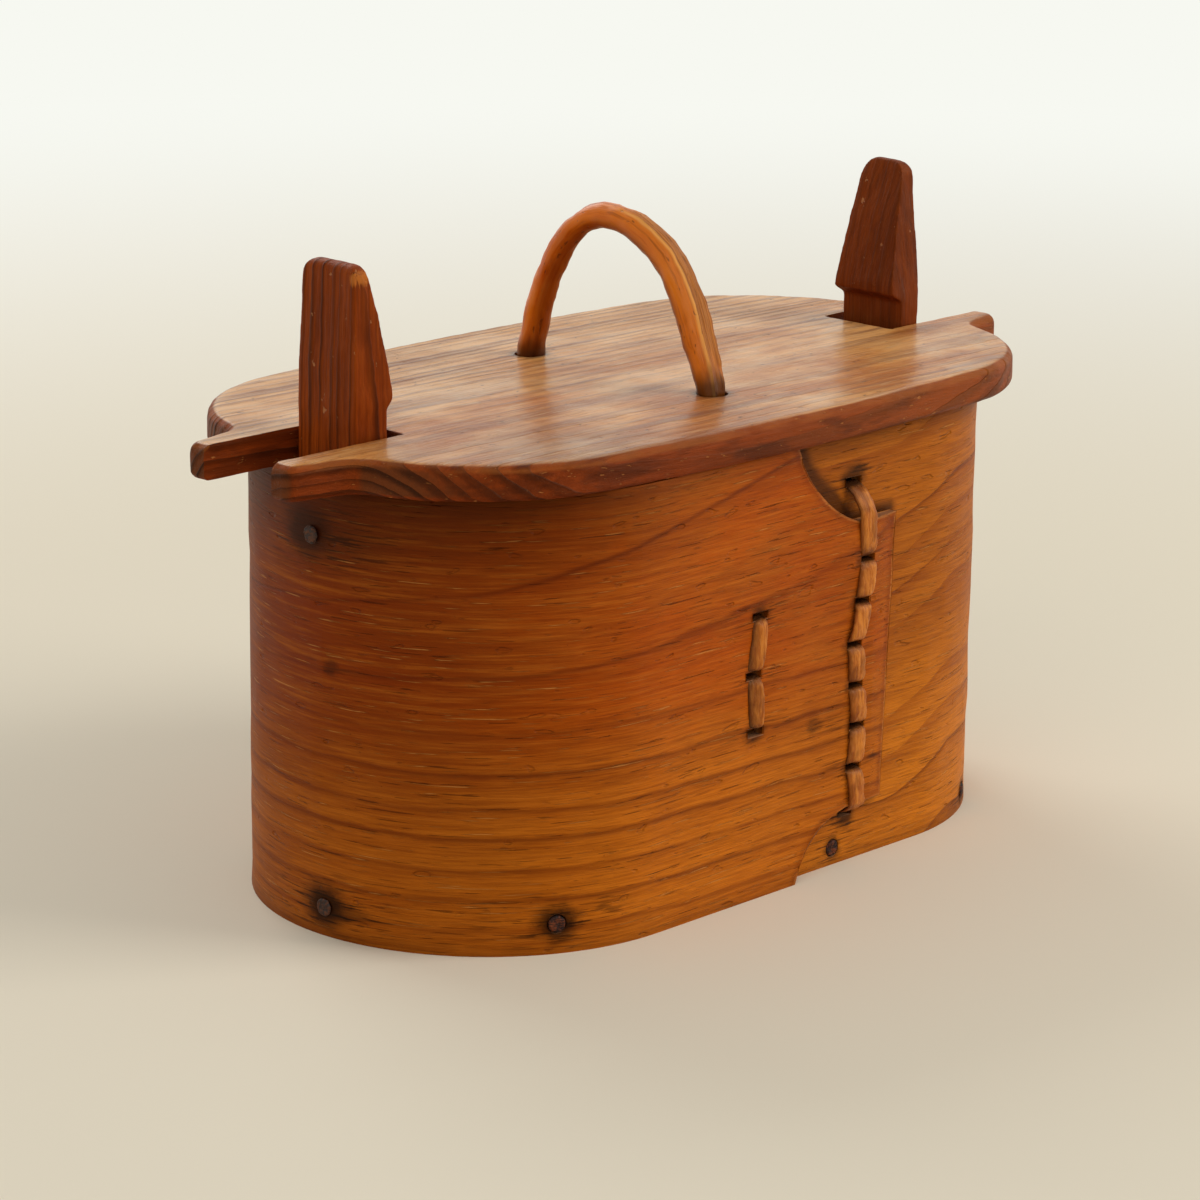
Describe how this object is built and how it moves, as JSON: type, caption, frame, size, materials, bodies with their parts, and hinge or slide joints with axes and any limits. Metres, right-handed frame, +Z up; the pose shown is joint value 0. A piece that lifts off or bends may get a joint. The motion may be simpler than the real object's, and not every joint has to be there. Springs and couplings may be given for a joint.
{
  "type": "tine box",
  "caption": "Oval bentwood box with a laced side seam, two hooked end posts and a slotted lift-off lid with a bow handle.",
  "frame": {"origin": "centre of the lid's footprint, at the level the box stands on", "axes": "+X along the oval's length, +Z up, the laced seam faces -Y"},
  "size_m": [0.2284, 0.113, 0.1465],
  "materials": {
    "band_pine": "satin, worn and darkened pine with red growth rings",
    "board_pine": "matt, plain pine",
    "lid_pine": "matt, greyed and worn, long grain",
    "post_wood": "satin, dark handled wood",
    "bent_root": "satin, polished by use",
    "root": "satin, split root",
    "peg_wood": "matt end grain",
    "iron": "dull, rusted black"
  },
  "bodies": {
    "box": {"side_band": "band_pine", "bottom_board": "board_pine", "seam_lacing": "root", "tip_lacing": "root", "post_nail_left": "iron", "post_nail_right": "iron", "foot_nail_left": "iron", "foot_peg_front_left": "peg_wood", "foot_peg_front": "peg_wood", "foot_peg_front_right": "peg_wood", "foot_peg_right": "peg_wood", "foot_peg_back_right": "peg_wood", "foot_peg_back": "peg_wood", "foot_peg_back_left": "peg_wood"},
    "lid": {"lid_board": "lid_pine", "handle_bow": "bent_root", "handle_pin_front": "peg_wood", "handle_pin_back": "peg_wood"},
    "post_left": {"post_left": "post_wood"},
    "post_right": {"post_right": "post_wood"}
  },
  "joints": [
    {"name": "lid_lift", "type": "slide", "parent": "box", "child": "lid", "axis": [0, 0, 1], "range_m": [0, 0.065]},
    {"name": "post_left_flex", "type": "hinge", "parent": "box", "child": "post_left", "pos_m": [-0.08565, 0, 0.00825], "axis": [0, -1, 0], "range_deg": [0, 0.8], "stiffness_Nm_per_rad": 30},
    {"name": "post_right_flex", "type": "hinge", "parent": "box", "child": "post_right", "pos_m": [0.08775, -0.0007, 0.00825], "axis": [0, 1, 0], "range_deg": [0, 0.5], "stiffness_Nm_per_rad": 30}
  ]
}
